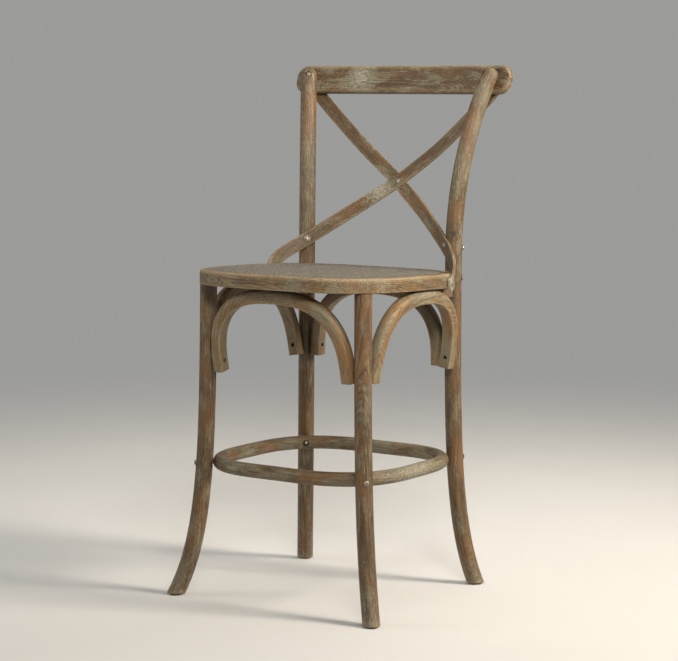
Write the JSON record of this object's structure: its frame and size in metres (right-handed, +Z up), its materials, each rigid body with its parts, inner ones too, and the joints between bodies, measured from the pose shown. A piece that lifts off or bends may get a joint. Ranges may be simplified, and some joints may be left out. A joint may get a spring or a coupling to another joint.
{
  "type": "bar stool",
  "caption": "Counter-height bar stool: bentwood legs and posts, crossed back straps, cane seat in a wooden rim, arched braces and a ring footrest.",
  "frame": {"origin": "on the floor, at the centre of the stool's footprint box", "axes": "+Z up; the sitter faces -Y; +X is to the sitter's left"},
  "size_m": [0.5118, 0.5272, 1.047],
  "materials": {
    "leg_wood": "weathered oak, open grain, matt",
    "ring_wood": "weathered oak, steam-bent, matt",
    "arch_wood": "weathered oak, steam-bent, matt",
    "seat_wood": "weathered oak, matt",
    "strap_wood": "weathered oak strip with a pale patina, matt",
    "rail_wood": "weathered oak, matt",
    "block_wood": "raw softwood glue block",
    "cane": "woven split cane, grey-beige, dry",
    "cane_spline": "reed cord pressed in its groove",
    "screw_steel": "plain steel, dulled",
    "bolt_steel": "domed heads, aged steel",
    "nut_steel": "cap nuts, aged steel",
    "glide": "dark nylon"
  },
  "bodies": {
    "root": {"arch_back": "arch_wood", "arch_back_screw_left": "screw_steel", "arch_back_screw_right": "screw_steel", "arch_back_screw_top": "screw_steel", "arch_front": "arch_wood", "arch_front_screw_left": "screw_steel", "arch_front_screw_right": "screw_steel", "arch_front_screw_top": "screw_steel", "arch_left": "arch_wood", "arch_left_screw_back": "screw_steel", "arch_left_screw_front": "screw_steel", "arch_left_screw_top": "screw_steel", "arch_right": "arch_wood", "arch_right_screw_back": "screw_steel", "arch_right_screw_front": "screw_steel", "arch_right_screw_top": "screw_steel", "back_post_left": "leg_wood", "back_post_right": "leg_wood", "back_strap_front": "strap_wood", "back_strap_rear": "strap_wood", "cane_panel": "cane", "cane_spline": "cane_spline", "corner_block_left": "block_wood", "corner_block_right": "block_wood", "cross_bolt": "bolt_steel", "cross_cap_nut": "nut_steel", "footrest_ring": "ring_wood", "front_leg_left": "leg_wood", "front_leg_right": "leg_wood", "glide_back_left": "glide", "glide_back_right": "glide", "glide_front_left": "glide", "glide_front_right": "glide", "rail_screw_left": "screw_steel", "rail_screw_right": "screw_steel", "ring_bolt_back_left": "bolt_steel", "ring_bolt_back_right": "bolt_steel", "ring_bolt_front_left": "bolt_steel", "ring_bolt_front_right": "bolt_steel", "ring_nut_back_left": "nut_steel", "ring_nut_back_right": "nut_steel", "ring_nut_front_left": "nut_steel", "ring_nut_front_right": "nut_steel", "seat_bolt_left": "bolt_steel", "seat_bolt_right": "bolt_steel", "seat_rim_back": "seat_wood", "seat_rim_front": "seat_wood", "seat_rim_left": "seat_wood", "seat_rim_right": "seat_wood", "strap_cap_nut_left": "nut_steel", "strap_cap_nut_right": "nut_steel", "strap_end_screw_left": "screw_steel", "strap_end_screw_right": "screw_steel", "strap_post_bolt_left": "bolt_steel", "strap_post_bolt_right": "bolt_steel", "strap_top_screw_left": "screw_steel", "strap_top_screw_right": "screw_steel", "top_rail": "rail_wood"}
  },
  "joints": []
}
